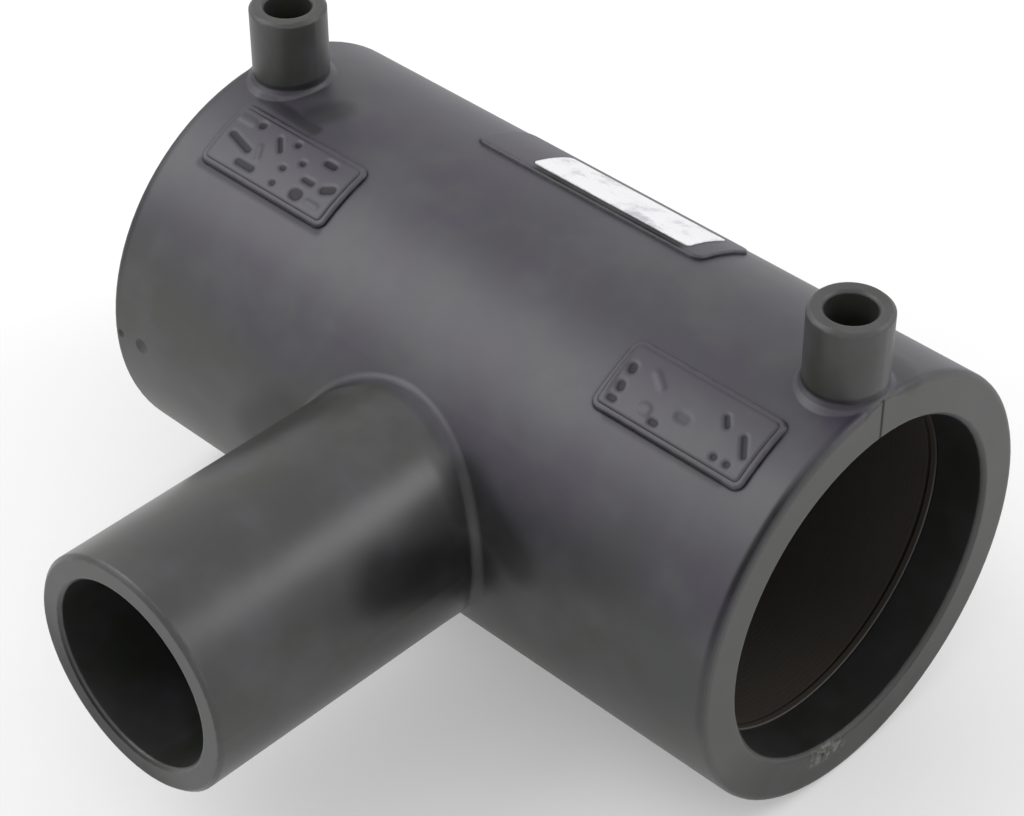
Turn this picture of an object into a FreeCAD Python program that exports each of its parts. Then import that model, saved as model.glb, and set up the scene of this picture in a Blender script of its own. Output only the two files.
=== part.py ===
import FreeCAD, Part
import math
import os
from FreeCAD import Vector

# Electrofusion reducing tee: a run with a welding socket at each end, a plain
# spigot branch, and two shrouded terminals above the sockets.
# Frame: origin where the run and branch axes cross, +X along the run,
# the branch towards -Y, +Z up through the terminals. Millimetres.

# Run
run_radius = 57.5
run_half_length = 103.3
run_edge_round = 1.5
run_edge_facets = 3

# Sockets, with depths measured from the end face
mouth_radius = 45.9
mouth_bevel = 1.1
mouth_depth = 14.4
socket_radius = 45.4
socket_depth = 67.0
waterway_radius = 40.0

# Spigot branch, true to pipe size over its spigot length and drafted from
# there to the run
branch_radius = 31.5
branch_bore_radius = 24.9
branch_reach = 139.0
spigot_length = 76.0
branch_draft = 1.0
branch_edge_bevel = 1.0
branch_bore_bevel = 0.8
branch_root_round = 2.2

# Terminal shrouds, standing on the run above each socket mouth
shroud_from_end = 11.0
shroud_radius = 10.1
shroud_height = 20.8
shroud_lip_bevel = 0.8
shroud_foot_flare = 0.9
well_radius = 6.2
well_lip_bevel = 0.7
well_floor_height = 0.8

# Terminal pins
pin_radius = 2.35
pin_shank_radius = 2.0
pin_height = 12.0
pin_clearance = 0.05

# Heating coils: the touching turns of a coated wire, wound as one band that
# fills a recess of the socket wall, with a bare lead out to the pin
coil_length = 36.0
coil_thickness = 1.5
coil_clearance = 0.05
lead_width = 1.5
lead_thickness = 0.8
lead_clearance = 0.05

# Raised marking plates on the front shoulder of the run
plate_from_end = 11.4
plate_length = 45.5
plate_height = 1.1
plate_span = 19.5
plate_corner_radius = 2.5
plate_edge_bevel = 0.5
left_plate_angle = 25.3
right_plate_angle = 28.0

# Raised label pad behind the crown of the run, and the label on it
pad_half_length = 37.6
pad_height = 1.0
pad_span = 21.5
pad_angle = -23.3
pad_corner_radius = 3.0
pad_edge_bevel = 0.4
label_length = 51.6
label_offset = 6.2
label_span = 15.2
label_angle = -22.4
label_corner_radius = 1.2
label_thickness = 0.2

# Weld line down each end face at twelve o'clock
seam_depth = 0.25

# Marks on the surface: a round gate dimple near the left end with a small
# dent at the edge beside it, and two pits in the right end face
dimple_radius = 2.4
dimple_depth = 1.0
dimple_from_end = 11.2
dimple_angle = 90.2
dent_radius = 1.3
dent_depth = 0.6
dent_from_end = 2.9
pit_from_bore = 2.6
large_pit_radius = 1.2
large_pit_angle = 169.7
small_pit_radius = 0.7
small_pit_angle = 167.0
pit_depth = 0.5

# Heights and places worked out from the sizes above
overshoot = 1.0
joint_tolerance = 0.01
shroud_x = run_half_length - shroud_from_end
shroud_top = run_radius + shroud_height
well_floor = run_radius + well_floor_height
coil_start = run_half_length - mouth_depth
coil_end = coil_start - coil_length
coil_outer = socket_radius + coil_thickness
spigot_start = branch_reach - spigot_length
spigot_clears_run = spigot_start > run_radius
branch_slope = math.tan(math.radians(branch_draft)) if spigot_clears_run else 0
branch_root_radius = branch_radius + spigot_start * branch_slope
recess_radius = coil_outer + coil_clearance
stop_x = run_half_length - socket_depth
pad_top = run_radius + pad_height


def on_run(x, angle, radius):
    """Point about the run axis, its angle in degrees from +Z towards -Y."""
    turn = math.radians(angle)
    return Vector(x, -radius * math.sin(turn), radius * math.cos(turn))


def spun(profile, axis):
    """Solid of revolution, about an axis through the origin, of a closed outline."""
    face = Part.Face(Part.makePolygon(profile + profile[:1]))
    return face.revolve(Vector(0, 0, 0), axis, 360)


def spun_about_run(outline):
    """Solid of revolution about the run of (along, out) points."""
    return spun([Vector(along, 0, out) for along, out in outline], Vector(1, 0, 0))


def spun_about_branch(outline):
    """Solid of revolution about the branch of (along, out) points."""
    return spun([Vector(out, -along, 0) for along, out in outline], Vector(0, -1, 0))


def spun_about_terminal(outline, side):
    """Solid of revolution about one terminal of (up, out) points."""
    solid = spun([Vector(out, 0, up) for up, out in outline], Vector(0, 0, 1))
    solid.translate(Vector(side * shroud_x, 0, 0))
    return solid


def run_shell():
    """Outside of the run, with the edge at each end rounded off in facets."""
    rim = []
    for facet in range(run_edge_facets + 1):
        turn = math.radians(90 * (1 - facet / run_edge_facets))
        along = run_half_length - run_edge_round * (1 - math.cos(turn))
        out = run_radius - run_edge_round * (1 - math.sin(turn))
        rim.append((along, out))
    far_rim = [(-along, out) for along, out in reversed(rim)]
    return spun_about_run([(-run_half_length, 0)] + far_rim + rim + [(run_half_length, 0)])


def branch_shell():
    """Outside of the branch, from the run axis to its bevelled open end.

    It is drafted up to the spigot's start, unless the spigot reaches the run.
    """
    drafted_end = [(spigot_start, branch_radius)] if spigot_clears_run else []
    return spun_about_branch([(0, 0), (0, branch_root_radius)] + drafted_end + [
        (branch_reach - branch_edge_bevel, branch_radius),
        (branch_reach, branch_radius - branch_edge_bevel),
        (branch_reach, 0),
    ])


def shroud_shell(side):
    """Outside of one terminal shroud, whose flared foot ends flush with the end face."""
    root = (run_radius + recess_radius) / 2
    flare_top = run_radius + shroud_foot_flare
    foot_radius = shroud_radius + flare_top - root
    shroud = spun_about_terminal([
        (root, 0),
        (root, foot_radius),
        (flare_top, shroud_radius),
        (shroud_top - shroud_lip_bevel, shroud_radius),
        (shroud_top, shroud_radius - shroud_lip_bevel),
        (shroud_top, 0),
    ], side)
    span = Part.makeBox(
        2 * run_half_length, 2 * foot_radius, shroud_top,
        Vector(-run_half_length, -foot_radius, 0),
    )
    return shroud.common(span)


def wrapped_patch(centre_x, length, angle, span, low, high, corner_radius):
    """Rounded rectangle wrapped on the run between two radii."""
    half_width = high * math.sin(math.radians(span / 2))
    start = centre_x - length / 2
    blank = Part.makeBox(length, 2 * half_width, high, Vector(start, -half_width, high / 2))
    up = Vector(0, 0, 1)
    uprights = [e for e in blank.Edges if e.tangentAt(e.FirstParameter).cross(up).Length < joint_tolerance]
    blank = blank.makeFillet(corner_radius, uprights)
    blank.rotate(Vector(0, 0, 0), Vector(1, 0, 0), angle)
    axis = Vector(1, 0, 0)
    tube = Part.makeCylinder(high, length, Vector(start, 0, 0), axis)
    core = Part.makeCylinder(low, length, Vector(start, 0, 0), axis)
    return blank.common(tube).cut(core)


def raised_patch(centre_x, length, angle, span, height, corner_radius, bevel):
    """Patch that stands proud of the run, with a bevel round its crown."""
    top = run_radius + height
    sunk = run_radius - height
    patch = wrapped_patch(centre_x, length, angle, span, sunk, top, corner_radius)
    round_faces = [f for f in patch.Faces if isinstance(f.Surface, Part.Cylinder)]
    crown = max(round_faces, key=lambda f: f.Surface.Radius * (f.Surface.Axis.x ** 2))
    return patch.makeChamfer(bevel, crown.Edges)


def half_run_bore(side):
    """Space inside one half of the run: mouth, coil recess, socket and waterway."""
    outline = [
        (0, 0),
        (0, waterway_radius),
        (stop_x, waterway_radius),
        (stop_x, socket_radius),
        (coil_end, socket_radius),
        (coil_end, recess_radius),
        (coil_start, recess_radius),
        (coil_start, mouth_radius),
        (run_half_length - mouth_bevel, mouth_radius),
        (run_half_length, mouth_radius + mouth_bevel),
        (run_half_length + overshoot, mouth_radius + mouth_bevel),
        (run_half_length + overshoot, 0),
    ]
    return spun_about_run([(side * along, out) for along, out in outline])


def branch_bore():
    """Space inside the branch, with a bevel at its open end."""
    lip = branch_bore_radius + branch_bore_bevel
    return spun_about_branch([
        (0, 0),
        (0, branch_bore_radius),
        (branch_reach - branch_bore_bevel, branch_bore_radius),
        (branch_reach, lip),
        (branch_reach + overshoot, lip),
        (branch_reach + overshoot, 0),
    ])


def terminal_well(side):
    """Open well of a shroud, bevelled at its lip, and the hole that its pin passes through."""
    hole = pin_shank_radius + pin_clearance
    lip = well_radius + well_lip_bevel
    return spun_about_terminal([
        (coil_outer, 0),
        (coil_outer, hole),
        (well_floor, hole),
        (well_floor, well_radius),
        (shroud_top - well_lip_bevel, well_radius),
        (shroud_top, lip),
        (shroud_top + overshoot, lip),
        (shroud_top + overshoot, 0),
    ], side)


def straight_wire(from_x, to_x, clearance=0.0):
    """Straight flat wire at twelve o'clock, or the slot that clears it."""
    return Part.makeBox(
        to_x - from_x,
        lead_width + 2 * clearance,
        lead_thickness + 2 * clearance,
        Vector(from_x, -lead_width / 2 - clearance, coil_outer - lead_thickness - clearance),
    )


def lead_slot(side):
    """Slot along the mouth wall for the lead, open to the bore."""
    reach = shroud_x + pin_radius + lead_clearance
    slot = Part.makeBox(
        reach - coil_start + overshoot,
        lead_width + 2 * lead_clearance,
        recess_radius - socket_radius + overshoot,
        Vector(coil_start - overshoot, -lead_width / 2 - lead_clearance, socket_radius - overshoot),
    )
    if side < 0:
        slot.rotate(Vector(0, 0, 0), Vector(0, 0, 1), 180)
    return slot


def seam_groove(side):
    """Fine V groove down the end face, from its edge to the bore."""
    flank = seam_depth * math.sqrt(2)
    bar = Part.makeBox(
        flank,
        flank,
        run_radius - mouth_radius + 2 * overshoot,
        Vector(-flank / 2, -flank / 2, mouth_radius - overshoot),
    )
    bar.rotate(Vector(0, 0, 0), Vector(0, 0, 1), 45)
    bar.translate(Vector(side * run_half_length, 0, 0))
    return bar


def ball_mark(place, radius, depth, outward):
    """Ball that leaves a round hollow of a given radius and depth."""
    size = (radius ** 2 + depth ** 2) / (2 * depth)
    return Part.makeSphere(size, place + outward * (size - depth))


def end_pit(angle, radius):
    """Cone that leaves a pit in the right end face, beside the bore."""
    place = on_run(run_half_length, angle, mouth_radius + pit_from_bore)
    return Part.makeCone(radius, 0, pit_depth, place, Vector(-1, 0, 0))


def surface_marks():
    """Shapes that leave the gate dimple, the dent beside it and the two pits."""
    outward = on_run(0, dimple_angle, 1)
    dimple = on_run(dimple_from_end - run_half_length, dimple_angle, run_radius)
    dent = on_run(dent_from_end - run_half_length, dimple_angle, run_radius)
    return [
        ball_mark(dimple, dimple_radius, dimple_depth, outward),
        ball_mark(dent, dent_radius, dent_depth, outward),
        end_pit(large_pit_angle, large_pit_radius),
        end_pit(small_pit_angle, small_pit_radius),
    ]


def on_branch_root(p):
    """Whether a point lies where the branch meets the run."""
    swell = (spigot_start + p.y) * branch_slope
    off_branch = abs(math.hypot(p.x, p.z) - branch_radius - swell)
    off_run = abs(math.hypot(p.y, p.z) - run_radius)
    return off_branch + off_run < joint_tolerance


def tee_body():
    """The moulding: run, branch, shrouds, plates, pad and all its spaces."""
    body = run_shell().fuse([branch_shell(), shroud_shell(1), shroud_shell(-1)])
    root_edges = [e for e in body.Edges if all(on_branch_root(p) for p in e.discretize(5))]
    body = body.makeFillet(branch_root_round, root_edges)

    plate_x = run_half_length - plate_from_end - plate_length / 2
    patches = [
        raised_patch(
            side * plate_x, plate_length, angle, plate_span,
            plate_height, plate_corner_radius, plate_edge_bevel,
        )
        for side, angle in ((-1, left_plate_angle), (1, right_plate_angle))
    ]
    patches.append(raised_patch(
        0, 2 * pad_half_length, pad_angle, pad_span,
        pad_height, pad_corner_radius, pad_edge_bevel,
    ))
    body = body.fuse(patches)

    spaces = [branch_bore(), straight_wire(-coil_end, coil_end, lead_clearance)]
    for side in (1, -1):
        spaces += [half_run_bore(side), terminal_well(side), lead_slot(side), seam_groove(side)]
    return body.cut(spaces + surface_marks())


def heating_coil(side):
    """One wound band with its lead, which ends under the pin."""
    band = spun_about_run([
        (coil_end, socket_radius),
        (coil_end, coil_outer),
        (coil_start, coil_outer),
        (coil_start, socket_radius),
    ])
    coil = band.fuse(straight_wire(coil_start - lead_width, shroud_x + pin_radius))
    if side < 0:
        coil.rotate(Vector(0, 0, 0), Vector(0, 0, 1), 180)
    return coil.removeSplitter()


def terminal_pin(side):
    """Pin whose shank stands on the lead and whose shoulder sits on the well floor."""
    tip = well_floor + pin_height
    return spun_about_terminal([
        (coil_outer, 0),
        (coil_outer, pin_shank_radius),
        (well_floor, pin_shank_radius),
        (well_floor, pin_radius),
        (tip, pin_radius),
        (tip, 0),
    ], side)


def blank_label():
    """Plain stuck-on label, wrapped on the pad."""
    return wrapped_patch(
        label_offset, label_length, label_angle, label_span,
        pad_top, pad_top + label_thickness, label_corner_radius,
    )


def main():
    """Build every node and write it to its own file."""
    os.makedirs("parts", exist_ok=True)
    nodes = {
        "tee_body": tee_body(),
        "left_heating_coil": heating_coil(-1),
        "right_heating_coil": heating_coil(1),
        "link_wire": straight_wire(-coil_end, coil_end),
        "left_terminal_pin": terminal_pin(-1),
        "right_terminal_pin": terminal_pin(1),
        "blank_label": blank_label(),
    }
    for name, shape in nodes.items():
        shape.exportStep(os.path.join("parts", name + ".step"))
        print(name, len(shape.Solids), shape.isValid(), round(shape.Volume, 1))


main()
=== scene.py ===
import logging
import math
from dataclasses import dataclass, field
from enum import Enum
from functools import cache, cached_property, partial, reduce
from typing import Iterable

import bmesh
import bpy
from mathutils import Euler, Matrix, Vector


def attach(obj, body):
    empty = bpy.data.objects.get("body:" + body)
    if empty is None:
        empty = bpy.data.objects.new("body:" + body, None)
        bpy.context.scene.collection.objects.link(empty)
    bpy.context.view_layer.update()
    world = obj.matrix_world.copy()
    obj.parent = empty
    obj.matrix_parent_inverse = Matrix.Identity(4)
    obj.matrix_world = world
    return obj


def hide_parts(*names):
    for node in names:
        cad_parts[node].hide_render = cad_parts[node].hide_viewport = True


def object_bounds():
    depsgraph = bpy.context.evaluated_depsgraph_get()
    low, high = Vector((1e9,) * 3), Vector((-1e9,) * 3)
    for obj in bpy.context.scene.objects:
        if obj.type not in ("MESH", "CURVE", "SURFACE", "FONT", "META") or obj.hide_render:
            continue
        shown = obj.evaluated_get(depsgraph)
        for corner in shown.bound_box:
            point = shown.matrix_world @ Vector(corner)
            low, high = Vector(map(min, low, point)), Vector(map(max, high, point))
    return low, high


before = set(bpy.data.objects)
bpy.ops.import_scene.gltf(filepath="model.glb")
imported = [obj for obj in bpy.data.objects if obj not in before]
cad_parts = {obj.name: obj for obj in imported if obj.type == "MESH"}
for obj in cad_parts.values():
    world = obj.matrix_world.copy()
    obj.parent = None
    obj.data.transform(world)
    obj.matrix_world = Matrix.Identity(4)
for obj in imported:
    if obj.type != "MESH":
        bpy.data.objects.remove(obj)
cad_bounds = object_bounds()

log = logging.getLogger("reducing_tee")

MM = 0.001
BODY = "root"

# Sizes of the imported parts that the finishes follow, in millimetres
RUN_RADIUS = 57.5
MOUTH_RADIUS = 45.9
SPIGOT_RADIUS = 31.5
END_FACE = 103.3
BRANCH_END = 139.0
SHROUD_X = 92.3
WINDING_MOUTH = 88.9

Colour = tuple[float, float, float]
Point = tuple[float, float, float]
Limits = tuple[float, float]  # the two values between which a ramp rises
Ramp = tuple[float, float, float, float]  # its limits, then its results there
Tree = bpy.types.NodeTree
Node = bpy.types.Node
Socket = bpy.types.NodeSocket
Material = bpy.types.Material
Mesh = bmesh.types.BMesh


class Side(Enum):
    """The two ends of the run, by the sign of X."""

    LEFT = -1
    RIGHT = 1

    @property
    def word(self) -> str:
        """Name of the side, as node names begin."""
        return self.name.lower()


# Node tools


def link(tree: Tree, source: Socket, target: Socket) -> None:
    """Joins two sockets of a node tree."""
    tree.links.new(source, target)


def add_node(tree: Tree, kind: str, **values: object) -> Node:
    """Adds a node and sets its properties.

    Args:
        tree: The node tree that gets the node.
        kind: Blender's name of the node type.
        values: Properties of the node, by name.

    Returns:
        The new node.
    """
    node = tree.nodes.new(kind)
    for name, value in values.items():
        setattr(node, name, value)
    return node


def give(tree: Tree, target: Socket, value: object) -> None:
    """Joins an input to a socket, or sets it to a constant.

    Args:
        tree: The node tree of the input.
        target: The input.
        value: The socket or the constant.
    """
    if isinstance(value, Socket):
        link(tree, value, target)
    else:
        target.default_value = value


def maths(
    tree: Tree,
    operation: str,
    first: Socket | float,
    second: Socket | float = 0.0,
    clamp: bool = False,
) -> Socket:
    """Adds a Math node.

    Args:
        tree: The node tree that gets the node.
        operation: Name of the operation.
        first: First value or socket.
        second: Second value or socket.
        clamp: Whether the result stays between 0 and 1.

    Returns:
        The socket of the result.
    """
    node = add_node(tree, "ShaderNodeMath", operation=operation, use_clamp=clamp)
    for target, value in zip(node.inputs, (first, second)):
        give(tree, target, value)
    return node.outputs[0]


def vector_maths(tree: Tree, operation: str, *values: Socket | Vector | Point) -> Node:
    """Adds a Vector Math node.

    Args:
        tree: The node tree that gets the node.
        operation: Name of the operation.
        values: Its vectors, as sockets or constants.

    Returns:
        The node.
    """
    node = add_node(tree, "ShaderNodeVectorMath", operation=operation)
    for target, value in zip(node.inputs, values):
        give(tree, target, value)
    return node


def ramp(
    tree: Tree,
    value: Socket,
    low: float,
    high: float,
    to_low: float = 0.0,
    to_high: float = 1.0,
) -> Socket:
    """Maps a value smoothly from one range to another.

    Args:
        tree: The node tree that gets the node.
        value: Socket of the value.
        low: Value that gives to_low.
        high: Value that gives to_high.
        to_low: Result at low.
        to_high: Result at high.

    Returns:
        The socket of the result.
    """
    node = add_node(tree, "ShaderNodeMapRange", interpolation_type="SMOOTHSTEP")
    link(tree, value, node.inputs["Value"])
    ends = {"From Min": low, "From Max": high, "To Min": to_low, "To Max": to_high}
    for name, number in ends.items():
        node.inputs[name].default_value = number
    return node.outputs["Result"]


def noise(
    tree: Tree,
    place: Socket,
    size: float,
    detail: float = 2.0,
    roughness: float = 0.5,
) -> Socket:
    """Adds a noise texture whose lumps have a real size.

    Args:
        tree: The node tree that gets the node.
        place: Socket of the coordinates.
        size: Rough size of a lump, in metres.
        detail: Number of finer layers.
        roughness: Strength of the finer layers.

    Returns:
        The socket of the noise, from 0 to 1.
    """
    node = add_node(tree, "ShaderNodeTexNoise")
    link(tree, place, node.inputs["Vector"])
    node.inputs["Scale"].default_value = 1 / size
    node.inputs["Detail"].default_value = detail
    node.inputs["Roughness"].default_value = roughness
    return node.outputs["Fac"]


# Places of the colour sockets on a Mix node, where names repeat
MIX_FIRST, MIX_SECOND, MIX_RESULT = 6, 7, 2


def mix_colour(
    tree: Tree,
    factor: Socket,
    first: Colour | Socket,
    second: Colour | Socket,
) -> Socket:
    """Blends two colours by a mask.

    Args:
        tree: The node tree that gets the node.
        factor: Socket of the mask.
        first: Colour where the mask is 0.
        second: Colour where the mask is 1.

    Returns:
        The socket of the blended colour.
    """
    node = add_node(tree, "ShaderNodeMix", data_type="RGBA")
    link(tree, factor, node.inputs["Factor"])
    for index, colour in ((MIX_FIRST, first), (MIX_SECOND, second)):
        give(tree, node.inputs[index], colour if isinstance(colour, Socket) else (*colour, 1.0))
    return node.outputs[MIX_RESULT]


def new_group(name: str, inputs: dict[str, str], outputs: dict[str, str]) -> Tree:
    """Starts a shader node group.

    Args:
        name: Name of the group.
        inputs: Socket type of each input, by name.
        outputs: Socket type of each output, by name.

    Returns:
        The group's node tree, with its input and output nodes in place.
    """
    group = bpy.data.node_groups.new(name, "ShaderNodeTree")
    for sockets, way in ((inputs, "INPUT"), (outputs, "OUTPUT")):
        for socket, kind in sockets.items():
            group.interface.new_socket(socket, in_out=way, socket_type=kind)
    add_node(group, "NodeGroupInput", name="inputs")
    add_node(group, "NodeGroupOutput", name="outputs")
    return group


@dataclass(frozen=True)
class MouldedSkin:
    """Relief and mottling that a moulded plastic surface has."""

    ripple_size: float = 14 * MM
    grain_size: float = 0.9 * MM
    mottle_size: float = 22 * MM

    @cache
    def group(self) -> Tree:
        """Builds the node group once, however many finishes place it.

        Returns:
            Group with a Place and a Grain input, and a Height and a Mottle output.
        """
        group = new_group(
            "moulded_skin",
            {"Place": "NodeSocketVector", "Grain": "NodeSocketFloat"},
            {"Height": "NodeSocketFloat", "Mottle": "NodeSocketFloat"},
        )
        place = group.nodes["inputs"].outputs["Place"]
        grain_share = group.nodes["inputs"].outputs["Grain"]
        ripple = noise(group, place, self.ripple_size, detail=1.0)
        grain = noise(group, place, self.grain_size, detail=3.0)
        grain = maths(group, "MULTIPLY", grain, grain_share)
        height = maths(group, "ADD", ripple, grain)
        mottle = noise(group, place, self.mottle_size, detail=3.0, roughness=0.6)
        link(group, height, group.nodes["outputs"].inputs["Height"])
        link(group, mottle, group.nodes["outputs"].inputs["Mottle"])
        return group


@dataclass(frozen=True)
class EdgeMask:
    """Mask of convex edges, where handling wears and lightens a surface."""

    reach: float = 0.9 * MM
    samples: int = 6
    turn_limits: Limits = (0.995, 0.90)
    patch_size: float = 2.5 * MM
    patch_limits: Limits = (0.35, 0.65)

    @cache
    def group(self) -> Tree:
        """Builds the node group once, however many finishes place it.

        Returns:
            Group with a Place input, and a Worn mask and a Normal output.
        """
        group = new_group(
            "edge_mask",
            {"Place": "NodeSocketVector"},
            {"Worn": "NodeSocketFloat", "Normal": "NodeSocketVector"},
        )
        bevel = add_node(group, "ShaderNodeBevel", samples=self.samples)
        bevel.inputs["Radius"].default_value = self.reach
        surface = add_node(group, "ShaderNodeNewGeometry")
        normals = (bevel.outputs["Normal"], surface.outputs["Normal"])
        dot = vector_maths(group, "DOT_PRODUCT", *normals)
        turned = ramp(group, dot.outputs["Value"], *self.turn_limits)
        place = group.nodes["inputs"].outputs["Place"]
        broken = ramp(group, noise(group, place, self.patch_size, detail=3.0), *self.patch_limits)
        worn = maths(group, "MULTIPLY", turned, broken)
        link(group, worn, group.nodes["outputs"].inputs["Worn"])
        link(group, bevel.outputs["Normal"], group.nodes["outputs"].inputs["Normal"])
        return group


@dataclass(frozen=True)
class CreviceMask:
    """Mask of inner corners, where little light gets in, for painted shade."""

    reach: float = 2.0 * MM
    samples: int = 8
    deep_limits: Limits = (0.95, 0.45)
    open_limits: Limits = (0.80, 0.97)
    patch_size: float = 4 * MM
    patches: Ramp = (0.2, 0.7, 0.75, 1.0)

    @cache
    def group(self) -> Tree:
        """Builds the node group once, however many finishes place it.

        Returns:
            Group with a Place input, and an Open and a Crevice mask output.
        """
        group = new_group(
            "crevice_mask",
            {"Place": "NodeSocketVector"},
            {"Open": "NodeSocketFloat", "Crevice": "NodeSocketFloat"},
        )
        occlusion = add_node(group, "ShaderNodeAmbientOcclusion", samples=self.samples)
        occlusion.inputs["Distance"].default_value = self.reach
        opened = occlusion.outputs["AO"]
        place = group.nodes["inputs"].outputs["Place"]
        patchy = ramp(group, noise(group, place, self.patch_size), *self.patches)
        crevice = maths(group, "MULTIPLY", ramp(group, opened, *self.deep_limits), patchy)
        results = group.nodes["outputs"].inputs
        link(group, ramp(group, opened, *self.open_limits), results["Open"])
        link(group, crevice, results["Crevice"])
        return group


class Measure(Enum):
    """What a fade follows on the fitting."""

    X = "place along the run"
    Y = "place along the branch, below 0 on it"
    Z = "height"
    FROM_MIDDLE = "distance along the run from its middle"
    FROM_SEAM = "distance from the weld seam's plane"
    OFF_RUN = "distance from the run's axis"
    OFF_BRANCH = "distance from the branch's axis"
    OFF_SHROUD = "distance from the nearer shroud's axis"
    UP_AND_RIGHT = "height, less towards the left"


@dataclass(frozen=True)
class Fade:
    """A mask from low at start to high at end of a measure, in millimetres."""

    measure: Measure
    start: float
    end: float
    low: float = 0.0
    high: float = 1.0


def band(measure: Measure, low: float, high: float, edge: float) -> tuple[Fade, Fade]:
    """Marks what lies between two lengths.

    Args:
        measure: What is measured.
        low: Lower length, in millimetres.
        high: Upper length.
        edge: Width of the soft edge inside each.

    Returns:
        Two fades, whose product is the mask.
    """
    return Fade(measure, low, low + edge), Fade(measure, high, high - edge)


@dataclass(frozen=True)
class DarkPlace:
    """A dark place where all its fades meet, broken up by the skin's mottling: painted shade,
    except on the real dark weld line.
    """

    fades: tuple[Fade, ...]
    patches: Ramp | None = None


@dataclass(frozen=True)
class Smudge:
    """A soft patch along a straight stretch of a surface, in millimetres."""

    start: Point
    end: Point
    reach: float
    strength: float
    core: float = 0.3


@dataclass
class Surface:
    """A material being built: its tree, shader and the places it reads."""

    name: str
    material: Material = field(init=False)
    tree: Tree = field(init=False)
    shader: Node = field(init=False)
    place: Socket = field(init=False)
    rightward_share: float = 0.7

    def __post_init__(self) -> None:
        """Makes the material with a Principled shader and object coordinates."""
        self.material = bpy.data.materials.new(self.name)
        self.material.use_nodes = True
        self.tree = self.material.node_tree
        self.tree.nodes.clear()
        self.shader = add_node(self.tree, "ShaderNodeBsdfPrincipled")
        output = add_node(self.tree, "ShaderNodeOutputMaterial")
        link(self.tree, self.shader.outputs["BSDF"], output.inputs["Surface"])
        self.place = add_node(self.tree, "ShaderNodeTexCoord").outputs["Object"]

    def use(self, group: Tree, **values: float) -> Node:
        """Places a node group that reads the object coordinates.

        Args:
            group: The group's node tree.
            values: Values of its other inputs, by name.

        Returns:
            The group node.
        """
        node = add_node(self.tree, "ShaderNodeGroup", node_tree=group)
        link(self.tree, self.place, node.inputs["Place"])
        for name, value in values.items():
            node.inputs[name].default_value = value
        return node

    def bump(self, height: Socket, depth: float, normal: Socket | None = None) -> Socket:
        """Turns a height into a normal.

        Args:
            height: Socket of the height, from 0 to 1.
            depth: Depth of the relief, in metres.
            normal: Normal under the relief.

        Returns:
            The socket of the normal.
        """
        node = add_node(self.tree, "ShaderNodeBump")
        node.inputs["Distance"].default_value = depth
        link(self.tree, height, node.inputs["Height"])
        if normal is not None:
            link(self.tree, normal, node.inputs["Normal"])
        return node.outputs["Normal"]

    def feed(self, **sockets: Socket) -> None:
        """Joins sockets to the shader, by input name with _ for a space."""
        for name, socket in sockets.items():
            link(self.tree, socket, self.shader.inputs[name.replace("_", " ")])

    @cached_property
    def measures(self) -> dict[Measure, Socket]:
        """Measures the places of the surface, in metres.

        Returns:
            The socket of each measure.
        """
        tree = self.tree
        split = add_node(tree, "ShaderNodeSeparateXYZ")
        link(tree, self.place, split.inputs[0])
        x, y, z = split.outputs
        from_middle, from_seam = (maths(tree, "ABSOLUTE", place) for place in (x, y))
        beside = maths(tree, "ABSOLUTE", maths(tree, "SUBTRACT", from_middle, SHROUD_X * MM))
        squares = [maths(tree, "POWER", length, 2.0) for length in (beside, from_seam)]
        rightwards = maths(tree, "MULTIPLY", x, self.rightward_share)
        return {
            Measure.X: x,
            Measure.Y: y,
            Measure.Z: z,
            Measure.FROM_MIDDLE: from_middle,
            Measure.FROM_SEAM: from_seam,
            Measure.OFF_RUN: self._off_axis((0, 1, 1)),
            Measure.OFF_BRANCH: self._off_axis((1, 0, 1)),
            Measure.OFF_SHROUD: maths(tree, "SQRT", maths(tree, "ADD", *squares)),
            Measure.UP_AND_RIGHT: maths(tree, "ADD", z, rightwards),
        }

    def _off_axis(self, across: Point) -> Socket:
        """Adds the nodes for the distance from an axis.

        Args:
            across: 1 for each coordinate across the axis, and 0 along it.

        Returns:
            The socket of the distance.
        """
        flat = vector_maths(self.tree, "MULTIPLY", self.place, across)
        length = vector_maths(self.tree, "LENGTH", flat.outputs["Vector"])
        return length.outputs["Value"]

    def fade(self, fade: Fade) -> Socket:
        """Mask that follows a fade."""
        length = self.measures[fade.measure]
        return ramp(self.tree, length, fade.start * MM, fade.end * MM, fade.low, fade.high)

    def where(self, *fades: Fade) -> Socket:
        """Mask of the places where all fades meet."""
        return self.product(*map(self.fade, fades))

    def along(self, soft_patch: Smudge) -> Socket:
        """Mask of the surface along a straight stretch.

        Args:
            soft_patch: The stretch, with the distance at which the mask ends.

        Returns:
            The socket of the mask, as strong as the patch.
        """
        tree = self.tree
        start = Vector(soft_patch.start) * MM
        stretch = (Vector(soft_patch.end) - Vector(soft_patch.start)) * MM
        off = vector_maths(tree, "SUBTRACT", self.place, start).outputs["Vector"]
        dot = vector_maths(tree, "DOT_PRODUCT", off, stretch / stretch.length_squared)
        share = maths(tree, "ADD", dot.outputs["Value"], 0.0, clamp=True)
        foot = vector_maths(tree, "SCALE", stretch)
        link(tree, share, foot.inputs["Scale"])
        away = vector_maths(tree, "DISTANCE", off, foot.outputs["Vector"]).outputs["Value"]
        reach = soft_patch.reach * MM
        return ramp(tree, away, reach, soft_patch.core * reach, 0.0, soft_patch.strength)

    def product(self, *masks: Socket) -> Socket:
        """Product of some masks."""
        return reduce(partial(maths, self.tree, "MULTIPLY"), masks)

    def strongest(self, *masks: Socket) -> Socket:
        """Strongest of some masks at each place."""
        return reduce(partial(maths, self.tree, "MAXIMUM"), masks)
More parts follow.
